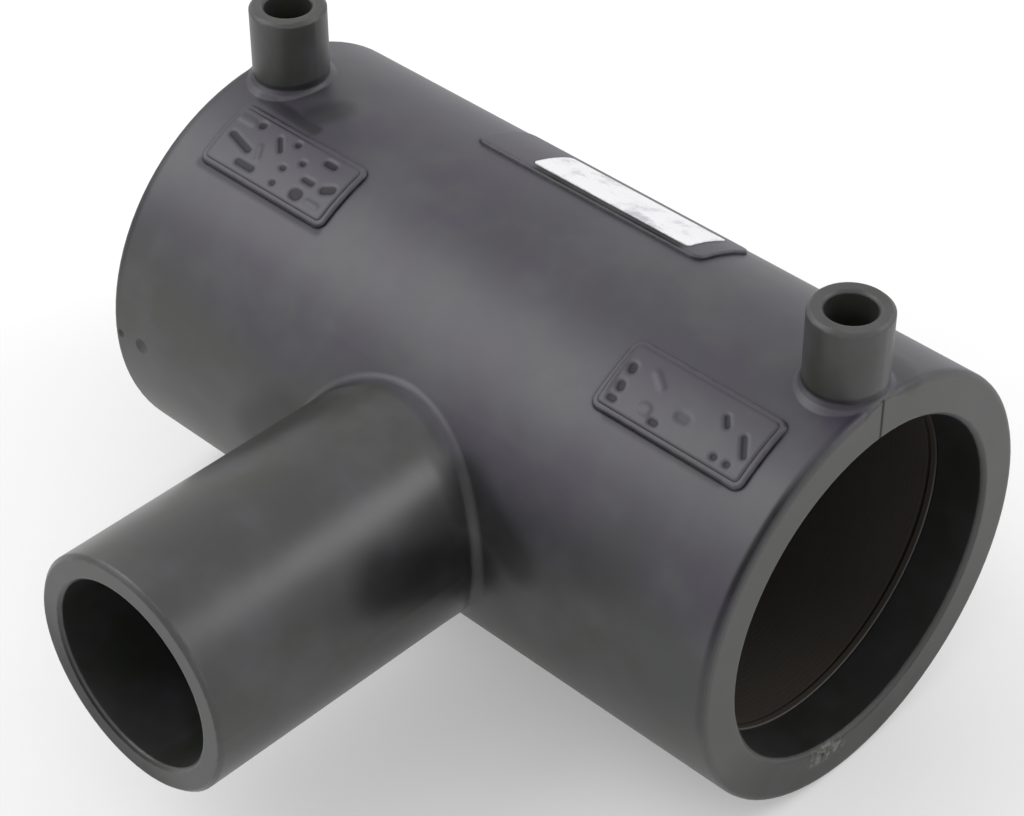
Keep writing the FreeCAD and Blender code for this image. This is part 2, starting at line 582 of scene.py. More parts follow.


# Finishes


# Dark places that follow the body's shape, and what they share: the weld line is a real dark seam,
# the end faces turn darker towards the bottom, and the rest is painted shade, shadow and dark
# reflection
PATCHY: Ramp = (0.3, 0.7, 0.6, 1.0)
ON_RUN = band(Measure.OFF_RUN, RUN_RADIUS - 1.0, RUN_RADIUS + 0.8, 0.3)
ON_END = Fade(Measure.FROM_MIDDLE, END_FACE - 0.6, END_FACE - 0.2)

WELD_LINE = DarkPlace((Fade(Measure.FROM_SEAM, 1.1, 0.11, 0.0, 0.55), ON_END, Fade(Measure.Z, 40, 44)))
# Painted dark reflection: a band on the run just inside each end, strongest on the near upper
# side, where the rounded rim would mirror dark surroundings.
RIM_DARK_REFLECTION = DarkPlace(
    (
        *band(Measure.FROM_MIDDLE, END_FACE - 3.2, END_FACE - 0.1, 1.3), *ON_RUN,
        Fade(Measure.Y, 2, -12, 0.4), Fade(Measure.X, -10, 10, 0.45),
        Fade(Measure.Z, 56, 45, 0.25), Fade(Measure.Z, 6, 36, 0.25), Fade(Measure.Z, -14, -4),
    ),
    patches=(0.3, 0.6, 0.688, 0.86),
)
# Painted shade on the run round the branch's root, stronger on its left side, where the branch and
# run meet.
BRANCH_ROOT_SHADE = DarkPlace((
    *band(Measure.OFF_RUN, 59.2, 62.0, 0.9),
    Fade(Measure.OFF_BRANCH, SPIGOT_RADIUS + 1.6, SPIGOT_RADIUS + 1.0),
    Fade(Measure.OFF_BRANCH, SPIGOT_RADIUS - 1.0, SPIGOT_RADIUS - 0.6),
    Fade(Measure.X, -8, -24, 0.10, 0.55),
))
# The run's end faces turn darker towards the bottom.
END_FOOT = DarkPlace((ON_END, Fade(Measure.Z, -15, -52, 0.06, 0.46)), PATCHY)
AT_BRANCH_END = Fade(Measure.FROM_SEAM, BRANCH_END - 0.8, BRANCH_END - 0.2)
# Painted shade on the branch's end face, darker towards the bottom left, away from the light.
BRANCH_LIP_SHADE = DarkPlace((AT_BRANCH_END, Fade(Measure.UP_AND_RIGHT, -8, -30, 0.12, 0.85)), PATCHY)
# Painted shadow along the gap below the label's lower edge.
LABEL_EDGE_SHADE = DarkPlace(
    (
        *band(Measure.Y, 12.5, 15.1, 0.5), *band(Measure.X, -19.0, 33.0, 3.0),
        *band(Measure.OFF_RUN, RUN_RADIUS + 0.2, RUN_RADIUS + 1.3, 0.2),
    ),
    PATCHY,
)
# Painted shade round the foot of each shroud.
SHROUD_FOOT_SHADE = DarkPlace(
    (
        *band(Measure.OFF_SHROUD, 9.6, 11.1, 0.25),
        *band(Measure.OFF_RUN, RUN_RADIUS + 0.1, RUN_RADIUS + 3.4, 1.0),
        Fade(Measure.Y, 4, -4, 0.15, 0.55),
    ),
    PATCHY,
)
# Painted shade on the wall just inside each socket's mouth.
MOUTH_SHADE = DarkPlace((
    Fade(Measure.OFF_RUN, MOUTH_RADIUS + 0.6, MOUTH_RADIUS + 0.1, 0.0, 0.30),
    Fade(Measure.FROM_MIDDLE, 60, 62),
))
# Painted shade in the sunk marks and round the edges of the plate reliefs.
SUNK_MARK_SHADE = DarkPlace((Fade(Measure.OFF_RUN, 58.84, 58.62, 0.0, 0.66),))
BODY_DARK_PLACES = (
    WELD_LINE, RIM_DARK_REFLECTION, BRANCH_ROOT_SHADE, END_FOOT, BRANCH_LIP_SHADE, LABEL_EDGE_SHADE, SHROUD_FOOT_SHADE, MOUTH_SHADE,
)

# Painted shadows and dark reflections as soft patches (beside the shroud feet, round the branch's
# root, along the plates' edges, and the run mirrored on the branch), the pale scuff on the end
# face, and an edge kept free of the painted corner shade
PAINTED_SHADES = (
    Smudge((-90.0, -11.6, 56.3), (-70.0, -12.4, 56.1), 2.8, 0.50),
    Smudge((-74.0, -9.0, 56.8), (-71.0, -3.0, 57.4), 6.5, 0.35),
    Smudge((94.0, 15.5, 55.4), (104.0, 11.0, 56.4), 5.0, 0.25),
    Smudge((24.0, -53.9, 20.4), (44.0, -56.8, 9.0), 9.0, 0.40),
    Smudge((28.4, -85.0, 11.5), (31.2, -62.0, 2.0), 13.0, 0.52),
    Smudge((-24.0, -94.0, 20.0), (-23.0, -64.0, 21.0), 11.0, 0.42),
    Smudge((-46.0, -57.3, -4.0), (-36.0, -57.2, 6.0), 13.0, 0.30),
    Smudge((-16.3, -85.0, 27.0), (-13.5, -68.0, 28.4), 6.0, 0.18),
    Smudge((-91.0, -33.3, 46.9), (-47.5, -33.3, 46.9), 2.2, 0.55),
    Smudge((52.0, -35.3, 45.4), (86.0, -35.3, 45.4), 2.0, 0.40),
)
SCUFF = Smudge((103.3, -14.5, -46.4), (103.3, -4.5, -48.6), 3.4, 1.0)
CALMED_EDGE = Smudge((46.4, -18.0, 54.6), (91.9, -18.0, 54.6), 5.0, 0.65)


@dataclass(frozen=True)
class MouldedPlastic:
    """Black moulded plastic: satin on the run, smoother on the spigot.

    In inner corners, sunk marks, the painted shadows and dark reflections, and the dark weld line,
    the skin turns into a metal as black as its colour, which also takes its reflections away:
    painted shade, except at the weld line.
    """

    name: str = "moulded_black_plastic"
    cool: Colour = (0.0285, 0.0238, 0.0390)
    warm: Colour = (0.0234, 0.0260, 0.0206)
    grey: Colour = (0.0455, 0.0442, 0.0505)
    faced: Colour = (0.040, 0.039, 0.037)
    worn: Colour = (0.085, 0.085, 0.088)
    lightless: Colour = (0.006, 0.006, 0.006)
    scuffed: Colour = (0.21, 0.205, 0.175)
    ior: float = 1.60
    run_roughness: float = 0.44
    spigot_roughness: float = 0.33
    roughness_spread: float = 0.08
    relief: float = 0.08 * MM
    grain: float = 0.05
    spigot: Fade = Fade(Measure.Y, -57, -61)
    # Painted cool tint of the highlight on the run's upper part, laid over the random clouds of
    # cool black
    shoulder: tuple[Fade, ...] = (
        Fade(Measure.OFF_RUN, RUN_RADIUS + 3.2, RUN_RADIUS + 2.4), Fade(Measure.Z, 8, 40),
    )
    cloud_size: float = 34 * MM
    clouds: Ramp = (0.35, 0.65, -0.3, 0.3)
    grey_limits: Limits = (0.40, 0.76)
    dark_places: tuple[DarkPlace, ...] = BODY_DARK_PLACES
    # Painted shadows and dark reflections, broken up by soft clouds
    painted_shades: tuple[Smudge, ...] = PAINTED_SHADES
    shade_cloud_size: float = 14 * MM
    shade_patches: Ramp = (0.30, 0.70, 0.8, 1.0)
    scuff: Smudge = SCUFF
    scuff_size: float = 1.7 * MM
    scuff_limits: Limits = (0.44, 0.66)
    calmed_edge: Smudge = CALMED_EDGE
    crevice_share: float = 1.0

    def build(self) -> Material:
        """Makes the material.

        Returns:
            The material.
        """
        surface = Surface(self.name)
        tree = surface.tree
        surface.shader.inputs["IOR"].default_value = self.ior
        skin = surface.use(MouldedSkin().group(), Grain=self.grain)
        mottle = skin.outputs["Mottle"]
        edges = surface.use(EdgeMask().group())
        crevices = surface.use(CreviceMask().group())
        calm = maths(tree, "SUBTRACT", 1.0, surface.along(self.calmed_edge))
        calm = maths(tree, "MULTIPLY", calm, self.crevice_share)
        # Painted shade in inner corners, kept off the calmed edge.
        crevice = surface.product(crevices.outputs["Crevice"], calm)
        unlit = surface.strongest(crevice, *self._darkened(surface, mottle))
        worn = surface.product(edges.outputs["Worn"], crevices.outputs["Open"])
        colour = mix_colour(tree, worn, self._mottled(surface, mottle), self.worn)
        fine = noise(tree, surface.place, self.scuff_size, detail=3.0)
        scuff = surface.product(surface.along(self.scuff), ramp(tree, fine, *self.scuff_limits))
        colour = mix_colour(tree, scuff, colour, self.scuffed)
        colour = mix_colour(tree, unlit, colour, self.lightless)
        spigot = surface.fade(self.spigot)
        base = ramp(tree, spigot, 0.0, 1.0, self.run_roughness, self.spigot_roughness)
        uneven = maths(tree, "SUBTRACT", mottle, 0.5)
        spread = maths(tree, "MULTIPLY", uneven, self.roughness_spread)
        roughness = maths(tree, "ADD", base, spread)
        normal = surface.bump(skin.outputs["Height"], self.relief, edges.outputs["Normal"])
        surface.feed(Base_Color=colour, Roughness=roughness, Metallic=unlit, Normal=normal)
        return surface.material

    def _mottled(self, surface: Surface, mottle: Socket) -> Socket:
        """Cool and warm blacks that run into each other, with greyer patches, and a painted cool
        tint of the highlight on the run's upper part.

        Args:
            surface: The material being built.
            mottle: Socket of the skin's mottling.

        Returns:
            The socket of the colour.
        """
        tree = surface.tree
        clouds = ramp(tree, noise(tree, surface.place, self.cloud_size), *self.clouds)
        # The cool black as a painted tint of the highlight on the upper run, and in random clouds.
        cool = maths(tree, "ADD", surface.where(*self.shoulder), clouds, clamp=True)
        black = mix_colour(tree, cool, self.warm, self.cool)
        plain = mix_colour(tree, ramp(tree, mottle, *self.grey_limits), black, self.grey)
        return mix_colour(tree, surface.fade(ON_END), plain, self.faced)

    def _darkened(self, surface: Surface, mottle: Socket) -> list[Socket]:
        """Dark places: the painted shade and the dark weld line that follow the body's shape, and
        the soft painted shadows and dark reflections.

        Args:
            surface: The material being built.
            mottle: Socket of the skin's mottling.

        Returns:
            The sockets of their masks.
        """
        tree = surface.tree
        masks = []
        for stain in self.dark_places:
            mask = surface.where(*stain.fades)
            if stain.patches is not None:
                mask = surface.product(mask, ramp(tree, mottle, *stain.patches))
            masks.append(mask)
        clouds = noise(tree, surface.place, self.shade_cloud_size, detail=1.0)
        soft = ramp(tree, clouds, *self.shade_patches)
        masks += [surface.product(surface.along(soft_patch), soft) for soft_patch in self.painted_shades]
        return masks


@dataclass(frozen=True)
class WireCoating:
    """Black coating of the heating wire, dull, with a painted highlight arc on the shoulder at the
    mouth.
    """

    name: str = "black_wire_coating"
    dark: Colour = (0.0320, 0.0270, 0.0215)
    pale: Colour = (0.0430, 0.0375, 0.0310)
    lit_arc: Colour = (0.13, 0.125, 0.12)
    shine: float = 0.25
    roughness: float = 0.80
    relief: float = 0.08 * MM
    grain: float = 0.15
    # Painted highlight: a pale arc on the shoulder at the winding's mouth, stronger towards the
    # bottom.
    lit_shoulder: tuple[Fade, ...] = (
        Fade(Measure.FROM_MIDDLE, WINDING_MOUTH - 0.35, WINDING_MOUTH),
        Fade(Measure.Z, 14, -14, 0.1),
    )

    def build(self) -> Material:
        """Makes the material.

        Returns:
            The material.
        """
        surface = Surface(self.name)
        skin = surface.use(MouldedSkin().group(), Grain=self.grain)
        colour = mix_colour(surface.tree, skin.outputs["Mottle"], self.dark, self.pale)
        # Painted highlight arc at the mouth.
        shoulder = surface.where(*self.lit_shoulder)
        colour = mix_colour(surface.tree, shoulder, colour, self.lit_arc)
        surface.shader.inputs["Roughness"].default_value = self.roughness
        surface.shader.inputs["Specular IOR Level"].default_value = self.shine
        surface.feed(Base_Color=colour, Normal=surface.bump(skin.outputs["Height"], self.relief))
        return surface.material


@dataclass(frozen=True)
class DrawnMetal:
    """Drawn metal of a pin or a bare wire, with fine lines round it."""

    name: str
    bright: Colour
    dull: Colour
    roughness: float = 0.28
    stained_roughness: float = 0.43
    line_size: float = 0.4 * MM
    line_squeeze: Point = (0.2, 0.2, 1.0)
    relief: float = 0.02 * MM
    stain_size: float = 1.5 * MM
    dull_limits: Limits = (0.4, 0.7)
    rough_limits: Limits = (0.3, 0.8)

    def build(self) -> Material:
        """Makes the material.

        Returns:
            The material.
        """
        surface = Surface(self.name)
        tree = surface.tree
        stretch = add_node(tree, "ShaderNodeMapping")
        stretch.inputs["Scale"].default_value = self.line_squeeze
        link(tree, surface.place, stretch.inputs["Vector"])
        lines = noise(tree, stretch.outputs["Vector"], self.line_size)
        stain = noise(tree, surface.place, self.stain_size, detail=3.0)
        colour = mix_colour(tree, ramp(tree, stain, *self.dull_limits), self.bright, self.dull)
        rough = (self.roughness, self.stained_roughness)
        roughness = ramp(tree, stain, *self.rough_limits, *rough)
        normal = surface.bump(lines, self.relief)
        surface.shader.inputs["Metallic"].default_value = 1.0
        surface.feed(Base_Color=colour, Roughness=roughness, Normal=normal)
        return surface.material


@dataclass(frozen=True)
class LabelFilm:
    """Glossy white film, slightly creased where it is stuck down."""

    name: str = "white_label_film"
    clean: Colour = (0.84, 0.84, 0.86)
    handled: Colour = (0.50, 0.50, 0.53)
    roughness: float = 0.22
    handled_roughness: float = 0.34
    relief: float = 0.10 * MM
    crease_size: float = 7 * MM
    blotch_size: float = 9 * MM
    dirt_limits: Limits = (0.50, 0.72)
    rough_limits: Limits = (0.3, 0.7)

    def build(self) -> Material:
        """Makes the material.

        Returns:
            The material.
        """
        surface = Surface(self.name)
        tree = surface.tree
        edges = surface.use(EdgeMask().group())
        blotch = noise(tree, surface.place, self.blotch_size, detail=4.0, roughness=0.65)
        dirt = surface.strongest(ramp(tree, blotch, *self.dirt_limits), edges.outputs["Worn"])
        colour = mix_colour(tree, dirt, self.clean, self.handled)
        rough = (self.roughness, self.handled_roughness)
        roughness = ramp(tree, blotch, *self.rough_limits, *rough)
        normal = surface.bump(noise(tree, surface.place, self.crease_size), self.relief)
        surface.feed(Base_Color=colour, Roughness=roughness, Normal=normal)
        return surface.material


# Mesh tools


MERGE_GAP = 0.001 * MM
RIM_GAP = 0.01 * MM


def add_object(name: str, data: bpy.types.ID) -> bpy.types.Object:
    """Puts a new object in the scene.

    Args:
        name: Name of the object.
        data: Its mesh, camera or lamp.

    Returns:
        The object.
    """
    item = bpy.data.objects.new(name, data)
    bpy.context.scene.collection.objects.link(item)
    return item


def dress_node(node: str, material: Material) -> None:
    """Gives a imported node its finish.

    Args:
        node: Name of the node.
        material: The finish.
    """
    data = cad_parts[node].data
    data.materials.clear()
    data.materials.append(material)
    log.info("dressed %s with %s", node, material.name)


def finish_piece(
    mesh: Mesh,
    name: str,
    material: Material,
    replaced: Iterable[str] = (),
    smooth_below: float = 35.0,
) -> bpy.types.Object:
    """Turns a bmesh into a piece that rides on the body.

    Args:
        mesh: The bmesh, in metres and in place. It is freed.
        name: Name of the piece.
        material: Its finish.
        replaced: CAD nodes that the piece stands for.
        smooth_below: Edges bent less than this many degrees are shaded smooth.

    Returns:
        The new object.
    """
    bmesh.ops.remove_doubles(mesh, verts=mesh.verts, dist=MERGE_GAP)
    bmesh.ops.recalc_face_normals(mesh, faces=mesh.faces)
    limit = math.radians(smooth_below)
    for face in mesh.faces:
        face.smooth = True
    for edge in mesh.edges:
        edge.smooth = edge.is_manifold and edge.calc_face_angle(0.0) < limit
    data = bpy.data.meshes.new(name)
    mesh.to_mesh(data)
    mesh.free()
    data.materials.append(material)
    piece = add_object(name, data)
    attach(piece, BODY)
    if replaced:
        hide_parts(*replaced)
    log.info("built %s", name)
    return piece


def spin_outline(
    mesh: Mesh, outline: list[Vector], centre: Vector, axis: Vector, steps: int,
) -> None:
    """Spins a closed outline right round an axis into the bmesh.

    Args:
        mesh: The bmesh that gets the shape.
        outline: Corners of the outline, in order.
        centre: A point on the axis.
        axis: Direction of the axis.
        steps: Number of steps round.
    """
    corners = [mesh.verts.new(point) for point in outline]
    edges = [mesh.edges.new(pair) for pair in zip(corners, corners[1:] + corners[:1])]
    bmesh.ops.spin(
        mesh, geom=corners + edges, cent=centre, axis=axis,
        angle=2 * math.pi, steps=steps, use_merge=True,
    )


def smooth(value: float, low: float, high: float) -> float:
    """Share that rises smoothly from 0 at low to 1 at high."""
    share = min(1.0, max(0.0, (value - low) / (high - low)))
    return share * share * (3 - 2 * share)


# The tee


@dataclass
class RunFrame:
    """Sizes of the run that pieces on it share, in metres."""

    radius: float = RUN_RADIUS * MM
    half_length: float = END_FACE * MM
    shroud_x: float = SHROUD_X * MM

    def wrap(self, along: float, degrees: float, height: float) -> Vector:
        """Point above the run's surface.

        Args:
            along: Place along the run.
            degrees: Angle from +Z towards -Y.
            height: Height above the surface.

        Returns:
            The point.
        """
        turn = math.radians(degrees)
        out = self.radius + height
        return Vector((along, -out * math.sin(turn), out * math.cos(turn)))


@dataclass
class TeeMoulding:
    """The moulding itself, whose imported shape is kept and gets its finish."""

    finish: MouldedPlastic = field(default_factory=MouldedPlastic)

    def dress(self) -> None:
        """Puts the finish on the moulding."""
        dress_node("tee_body", self.finish.build())


@dataclass(frozen=True)
class Mark:
    """A round-ended mark on a plate, in millimetres from the plate's middle."""

    along: float
    down: float
    length: float
    width: float
    turn: float = 0.0
    rise: float = -0.34

    def height(self, along: float, down: float, slope: float) -> float:
        """Height that the mark adds at a place.

        Args:
            along: Place along the run.
            down: Place down the plate.
            slope: Width of the mark's flank.

        Returns:
            The height, in millimetres.
        """
        turn = math.radians(self.turn)
        off_along, off_down = along - self.along, down - self.down
        forward = off_along * math.cos(turn) + off_down * math.sin(turn)
        across = off_down * math.cos(turn) - off_along * math.sin(turn)
        spine = (self.length - self.width) / 2
        past = max(0.0, abs(forward) - spine)
        away = math.hypot(past, across) - self.width / 2
        return self.rise * (1 - smooth(away, -slope / 2, slope / 2))


@dataclass
class PlateRelief:
    """Skin on a marking plate: a raised rim round plain sunk and raised marks."""

    side: Side
    run: RunFrame
    angle: float
    marks: tuple[Mark, ...]
    length: float = 45.5
    span: float = 19.5
    from_end: float = 11.4
    plate_height: float = 1.1
    crown_inset: float = 0.7
    corner_radius: float = 2.0
    cell: float = 0.36
    skin: float = 0.34
    rim_rise: float = 0.08
    rim_width: float = 1.8
    slope: float = 0.9
    edge_slope: float = 1.4
    sunk_edge: float = -0.45
    least_skin: float = 0.02
    foot: float = -0.8

    def build(self, material: Material) -> bpy.types.Object:
        """Builds the relief of this plate.

        Args:
            material: Finish of the moulding.

        Returns:
            The piece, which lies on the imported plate.
        """
        crown = self.run.radius / MM + self.plate_height
        half_length = self.length / 2 - self.crown_inset
        half_width = crown * math.radians(self.span / 2) - self.crown_inset
        cells = [round(2 * half / self.cell) for half in (half_length, half_width)]
        mesh = bmesh.new()
        bmesh.ops.create_grid(mesh, size=1.0, x_segments=cells[0], y_segments=cells[1])
        bmesh.ops.scale(mesh, verts=mesh.verts, vec=(half_length, half_width, 1.0))
        for vert in mesh.verts:
            vert.co.z = self._height(vert.co.x, vert.co.y, half_length, half_width)
        under = bmesh.ops.extrude_face_region(mesh, geom=mesh.faces[:])["geom"]
        for vert in under:
            if isinstance(vert, bmesh.types.BMVert):
                vert.co.z = self.foot
        centre = self.side.value * (self.run.half_length / MM - self.from_end - self.length / 2)
        for vert in mesh.verts:
            degrees = self.angle + math.degrees(vert.co.y / crown)
            height = self.plate_height + vert.co.z
            vert.co = self.run.wrap((centre + vert.co.x) * MM, degrees, height * MM)
        return finish_piece(mesh, f"{self.side.word}_plate_relief", material)

    def _height(
        self, along: float, down: float, half_length: float, half_width: float,
    ) -> float:
        """Height of the skin over the plate's crown.

        Args:
            along: Place along the run, from the plate's middle.
            down: Place down the plate, from its middle.
            half_length: Half the skin's length.
            half_width: Half the skin's width.

        Returns:
            The height, in millimetres.
        """
        past_along = max(0.0, abs(along) - half_length + self.corner_radius)
        past_down = max(0.0, abs(down) - half_width + self.corner_radius)
        near_edge = max(abs(along) - half_length, abs(down) - half_width)
        if past_along > 0 and past_down > 0:
            near_edge = math.hypot(past_along, past_down) - self.corner_radius
        inside = -near_edge
        rim = self.rim_rise * (1 - smooth(inside, self.rim_width - self.slope, self.rim_width))
        relief = sum(mark.height(along, down, self.slope) for mark in self.marks)
        level = max(self.least_skin, self.skin + rim + relief)
        risen = smooth(inside, 0.0, self.edge_slope)
        return self.sunk_edge + (level - self.sunk_edge) * risen


LEFT_MARKS = (
    Mark(-12.6, -6.0, 2.6, 2.4), Mark(0.4, -6.2, 2.2, 2.0), Mark(12.8, -5.8, 4.6, 2.2),
    Mark(-14.6, 0.8, 9.6, 2.1, 14), Mark(-4.0, -3.8, 5.6, 1.5, 45), Mark(5.8, -2.4, 2.2, 1.8),
    Mark(1.8, 1.2, 2.2, 1.8), Mark(11.0, 1.0, 4.4, 1.7), Mark(17.6, 0.4, 4.8, 2.6, -30),
    Mark(-8.6, 5.6, 7.0, 2.1), Mark(2.1, 5.9, 2.0, 1.8), Mark(10.4, 5.4, 4.2, 3.4),
    Mark(-17.6, -5.2, 6.0, 2.0, 0, 0.22), Mark(16.4, 5.8, 5.0, 1.6, 0, 0.22),
    Mark(-7.4, 1.0, 5.0, 1.4, 60, 0.22),
)
RIGHT_MARKS = (
    Mark(-21.0, -0.6, 12.0, 1.2, 84, 0.22), Mark(-18.2, -2.4, 3.2, 2.4, 70),
    Mark(-17.8, 2.6, 3.0, 2.2, 70), Mark(-17.9, 6.2, 3.0, 1.8),
    Mark(-10.4, -3.0, 6.0, 1.6, 35, 0.2), Mark(-9.0, 4.6, 3.6, 3.0, 0, 0.22),
    Mark(-5.2, 6.3, 3.0, 1.8), Mark(0.6, 1.8, 4.6, 2.8, 0, -0.20), Mark(10.2, -2.6, 4.0, 1.6, 50),
    Mark(17.6, 0.6, 6.4, 1.7, 55), Mark(12.8, 6.0, 2.1, 1.8), Mark(16.6, 6.0, 2.1, 1.8),
)


@dataclass
class SocketWinding:
    """The wound wall of one socket: turns of coated wire and their lead."""

    side: Side
    inner_radius: float = 45.4 * MM
    thickness: float = 1.5 * MM
    outer_x: float = WINDING_MOUTH * MM
    length: float = 36.0 * MM
    turns: int = 26
    steps_per_turn: int = 64
    ring_steps: int = 96
    crown: tuple[float, ...] = (-1.0, -0.6, -0.2, 0.2, 0.6, 1.0)
    groove: float = 0.035 * MM
    gap: float = 0.015
    lead_width: float = 1.5 * MM
    lead_thickness: float = 0.8 * MM
    lead_bevel: float = 0.2 * MM
    lead_end: float = 94.65 * MM
    smooth_below: float = 50.0

    def build(self, material: Material) -> bpy.types.Object:
        """Builds the winding of this side.

        Args:
            material: Finish of the wire's coating.

        Returns:
            The piece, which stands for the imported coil.
        """
        mesh = bmesh.new()
        self._turns(mesh)
        self._end_ring(mesh)
        self._lead(mesh)
        if self.side is Side.LEFT:
            half_turn = Matrix.Rotation(math.pi, 3, "Z")
            bmesh.ops.rotate(mesh, verts=mesh.verts, cent=(0, 0, 0), matrix=half_turn)
        name = f"{self.side.word}_socket_winding"
        coil = f"{self.side.word}_heating_coil"
        return finish_piece(mesh, name, material, [coil], self.smooth_below)

    def _turns(self, mesh: Mesh) -> None:
        """Sweeps one flattened wire outline round and along the socket.

        Args:
            mesh: The winding's bmesh.
        """
        pitch = (self.length - self.thickness) / (self.turns + 1)
        start_x = self.outer_x - self.thickness - pitch / 2
        half = 0.5 * pitch * (1 - self.gap)
        back = self.inner_radius + self.thickness
        outline = [(-half, back)]
        for share in self.crown:
            outline.append((share * half, self.inner_radius + self.groove * share * share))
        outline.append((half, back))
        corners = [mesh.verts.new((start_x + along, 0.0, out)) for along, out in outline]
        edges = [mesh.edges.new(pair) for pair in zip(corners, corners[1:] + corners[:1])]
        steps = self.turns * self.steps_per_turn
        bmesh.ops.spin(
            mesh, geom=corners + edges, cent=(0, 0, 0), axis=(1, 0, 0),
            dvec=(-pitch * self.turns / steps, 0, 0), angle=2 * math.pi * self.turns, steps=steps,
        )
        ends = [edge for edge in mesh.edges if edge.is_boundary]
        bmesh.ops.holes_fill(mesh, edges=ends, sides=len(corners))

    def _end_ring(self, mesh: Mesh) -> None:
        """Adds the smooth ring that finishes the wound wall at its mouth.

        Args:
            mesh: The winding's bmesh.
        """
        low, outer_x = self.inner_radius, self.outer_x
        high = low + self.thickness
        inner_x = outer_x - self.thickness
        corners = ((inner_x, low), (outer_x, low), (outer_x, high), (inner_x, high))
        outline = [Vector((along, 0, out)) for along, out in corners]
        spin_outline(mesh, outline, Vector((0, 0, 0)), Vector((1, 0, 0)), self.ring_steps)

    def _lead(self, mesh: Mesh) -> None:
        """Adds the flat lead from the wound wall to the pin.

        Args:
            mesh: The winding's bmesh.
        """
        inner_x = self.outer_x - self.thickness
        top = self.inner_radius + self.thickness
        made = bmesh.ops.create_cube(mesh, size=1.0)["verts"]
        size = Vector((self.lead_end - inner_x, self.lead_width, self.lead_thickness))
        bmesh.ops.scale(mesh, verts=made, vec=size)
        middle = Vector(((self.lead_end + inner_x) / 2, 0, top - self.lead_thickness / 2))
        bmesh.ops.translate(mesh, verts=made, vec=middle)
        corners = set(made)
        edges = [edge for edge in mesh.edges if corners.issuperset(edge.verts)]
        bmesh.ops.bevel(
            mesh, geom=edges, offset=self.lead_bevel, affect="EDGES",
            segments=2, profile=0.5, material=-1,
        )


@dataclass
class TerminalPin:
    """One terminal pin, with its shank through the wall and a round tip."""

    side: Side
    run: RunFrame
    radius: float = 2.35 * MM
    shank_radius: float = 2.0 * MM
    foot_z: float = 46.9 * MM
    shoulder_z: float = 58.3 * MM
    tip_z: float = 70.3 * MM
    tip_bevel: float = 0.7 * MM
    steps: int = 32

    def build(self, material: Material) -> bpy.types.Object:
        """Builds the pin of this side.

        Args:
            material: Finish of the metal.

        Returns:
            The piece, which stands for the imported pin.
        """
        mesh = bmesh.new()
        centre_x = self.side.value * self.run.shroud_x
        outline = [
            (0.0, self.foot_z), (self.shank_radius, self.foot_z),
            (self.shank_radius, self.shoulder_z), (self.radius, self.shoulder_z),
            (self.radius, self.tip_z), (0.0, self.tip_z),
        ]
        corners = [Vector((centre_x + out, 0, up)) for out, up in outline]
        spin_outline(mesh, corners, Vector((centre_x, 0, 0)), Vector((0, 0, 1)), self.steps)
        bmesh.ops.remove_doubles(mesh, verts=mesh.verts, dist=MERGE_GAP)
        rim = [edge for edge in mesh.edges if all(map(self._on_rim, edge.verts))]
        bmesh.ops.bevel(
            mesh, geom=rim, offset=self.tip_bevel, affect="EDGES",
            segments=5, profile=0.5, material=-1,
        )
        name, packed = f"{self.side.word}_pin", f"{self.side.word}_terminal_pin"
        return finish_piece(mesh, name, material, [packed])

    def _on_rim(self, vert: bmesh.types.BMVert) -> bool:
        """Tells whether a vertex lies on the rim of the tip."""
        off_axis = (vert.co.xy - Vector((self.side.value * self.run.shroud_x, 0))).length
        return vert.co.z > self.tip_z - RIM_GAP and off_axis > self.radius - RIM_GAP


# Stage


@dataclass
class PhotoCamera:
    """Camera at the photograph's angle, fitted to the object's outline."""

    azimuth: float = 44.384
    elevation: float = 39.257
    roll: float = -0.353
    distance: float = 734.341 * MM
    aim_right: float = -9.205 * MM
    aim_up: float = -2.043 * MM
    lens: float = 101.027
    sensor: float = 36.0

    def build(self) -> bpy.types.Object:
        """Makes the camera and gives it to the scene.

        Returns:
            The camera object.
        """
        data = bpy.data.cameras.new("photo_camera")
        data.lens = self.lens
        data.sensor_width = self.sensor
        data.sensor_fit = "HORIZONTAL"
        camera = add_object("photo_camera", data)
        tilt = math.radians(90 - self.elevation)
        level = Euler((tilt, 0, math.radians(self.azimuth))).to_matrix()
        place = level @ Vector((self.aim_right, self.aim_up, self.distance))
        turned = level @ Matrix.Rotation(math.radians(self.roll), 3, "Z")
        camera.matrix_world = Matrix.Translation(place) @ turned.to_4x4()
        bpy.context.scene.camera = camera
        return camera


@dataclass
class SoftBox:
    """A large soft lamp, aimed at the object."""

    name: str
    towards: Point
    distance: float
    size: float
    power: float

    def build(self) -> bpy.types.Object:
        """Makes the lamp.

        Returns:
            The lamp object.
        """
        data = bpy.data.lights.new(self.name, "AREA")
        data.shape = "DISK"
        data.size = self.size
        data.energy = self.power
        lamp = add_object(self.name, data)
        direction = Vector(self.towards).normalized()
        lamp.location = direction * self.distance
        lamp.rotation_euler = direction.to_track_quat("Z", "Y").to_euler()
        return lamp


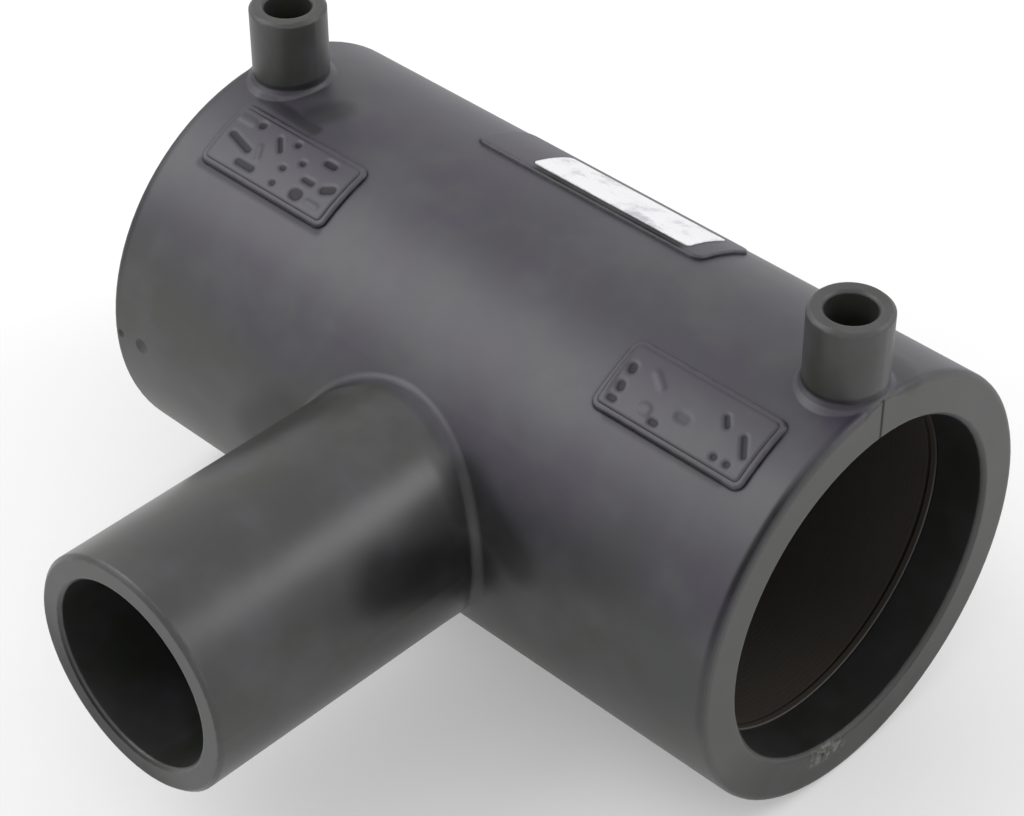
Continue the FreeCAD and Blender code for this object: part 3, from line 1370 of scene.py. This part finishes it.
@dataclass
class PaleStage:
    """White surroundings and a pale floor under the object."""

    floor_size: float = 8.0
    floor_colour: Colour = (0.72, 0.72, 0.72)
    floor_glow: float = 0.28
    world_fill: float = 0.75

    def build(self) -> bpy.types.Object:
        """Makes the world and the floor.

        Returns:
            The floor object.
        """
        self._world()
        mesh = bmesh.new()
        bmesh.ops.create_grid(mesh, x_segments=1, y_segments=1, size=self.floor_size / 2)
        bmesh.ops.translate(mesh, verts=mesh.verts, vec=(0, 0, cad_bounds[0].z))
        data = bpy.data.meshes.new("floor")
        mesh.to_mesh(data)
        mesh.free()
        data.materials.append(self._floor_material())
        floor = add_object("floor", data)
        return floor

    def _seen(self, tree: Tree) -> Socket:
        """Marks the rays that see the surroundings instead of being lit by them.

        Args:
            tree: Node tree of the floor or the world.

        Returns:
            The socket of the mask.
        """
        rays = add_node(tree, "ShaderNodeLightPath").outputs
        seen = maths(tree, "MAXIMUM", rays["Is Camera Ray"], rays["Is Glossy Ray"])
        return maths(tree, "MAXIMUM", seen, rays["Is Transmission Ray"])

    def _world(self) -> None:
        """Makes a world that is white to look at and lights the object softly."""
        world = bpy.data.worlds.new("white_surroundings")
        bpy.context.scene.world = world
        world.use_nodes = True
        tree = world.node_tree
        tree.nodes.clear()
        background = add_node(tree, "ShaderNodeBackground")
        output = add_node(tree, "ShaderNodeOutputWorld")
        strength = ramp(tree, self._seen(tree), 0.0, 1.0, self.world_fill, 1.0)
        link(tree, strength, background.inputs["Strength"])
        link(tree, background.outputs["Background"], output.inputs["Surface"])
        background.inputs["Color"].default_value = (1, 1, 1, 1)

    def _floor_material(self) -> Material:
        """Makes the floor's finish, pale to look at, which keeps the shadow.

        Returns:
            The material.
        """
        material = bpy.data.materials.new("pale_floor")
        material.use_nodes = True
        tree = material.node_tree
        tree.nodes.clear()
        diffuse = add_node(tree, "ShaderNodeBsdfDiffuse")
        diffuse.inputs["Color"].default_value = (*self.floor_colour, 1.0)
        glow = add_node(tree, "ShaderNodeEmission")
        strength = maths(tree, "MULTIPLY", self._seen(tree), self.floor_glow)
        link(tree, strength, glow.inputs["Strength"])
        both = add_node(tree, "ShaderNodeAddShader")
        link(tree, diffuse.outputs["BSDF"], both.inputs[0])
        link(tree, glow.outputs["Emission"], both.inputs[1])
        output = add_node(tree, "ShaderNodeOutputMaterial")
        link(tree, both.outputs["Shader"], output.inputs["Surface"])
        return material


def main() -> None:
    """Builds every piece of the tee, then the stage around it."""
    logging.basicConfig(level=logging.INFO, format="%(name)s: %(message)s")
    run = RunFrame()
    TeeMoulding().dress()
    dark_places = (*BODY_DARK_PLACES, SUNK_MARK_SHADE)
    marked = MouldedPlastic("marked_black_plastic", dark_places=dark_places, crevice_share=0.25).build()
    PlateRelief(Side.LEFT, run, 25.3, LEFT_MARKS).build(marked)
    PlateRelief(Side.RIGHT, run, 28.0, RIGHT_MARKS).build(marked)
    coating = WireCoating().build()
    pin_metal = DrawnMetal("tinned_pin", (0.80, 0.66, 0.38), (0.55, 0.44, 0.25)).build()
    wire_metal = DrawnMetal("bare_copper_wire", (0.80, 0.50, 0.36), (0.55, 0.32, 0.22)).build()
    for side in Side:
        SocketWinding(side).build(coating)
        TerminalPin(side, run).build(pin_metal)
    dress_node("link_wire", wire_metal)
    dress_node("blank_label", LabelFilm().build())

    PhotoCamera().build()
    SoftBox("key_softbox", (-0.54, -0.43, 0.72), distance=1.3, size=1.0, power=6.2).build()
    SoftBox("rim_softbox", (0.53, 0.56, 0.64), distance=1.3, size=0.6, power=3.0).build()
    PaleStage().build()
    bpy.context.scene.view_settings.view_transform = "Standard"


if __name__ == "__main__":
    main()
